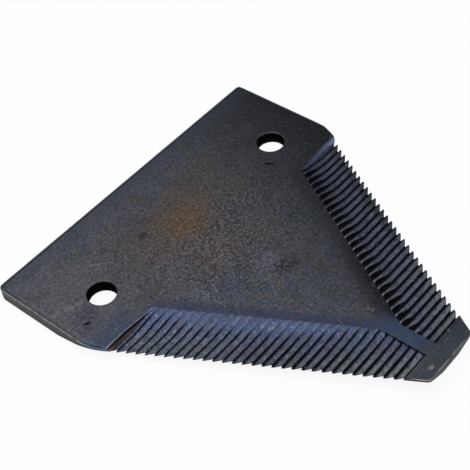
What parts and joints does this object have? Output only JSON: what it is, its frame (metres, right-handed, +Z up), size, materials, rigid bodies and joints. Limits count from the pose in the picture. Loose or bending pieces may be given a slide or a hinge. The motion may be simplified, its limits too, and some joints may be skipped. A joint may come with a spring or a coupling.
{
  "type": "mower sickle section",
  "caption": "Flat triangular mower knife section with a blunt tip, top-serrated cutting edges bevelled from below and rivet holes near the straight back.",
  "frame": {"origin": "midway between the two rivet holes, on the underside", "axes": "+X along the straight back through the rivet holes, +Y from the tip towards the back, +Z up out of the serrated upper face"},
  "size_m": [0.0762, 0.0825, 0.003],
  "materials": {
    "blued_steel": "hardened steel with a dark blue-grey heat-treatment oxide, worn bright on the edges"
  },
  "bodies": {
    "root": {"sickle_section": "blued_steel"}
  },
  "joints": []
}
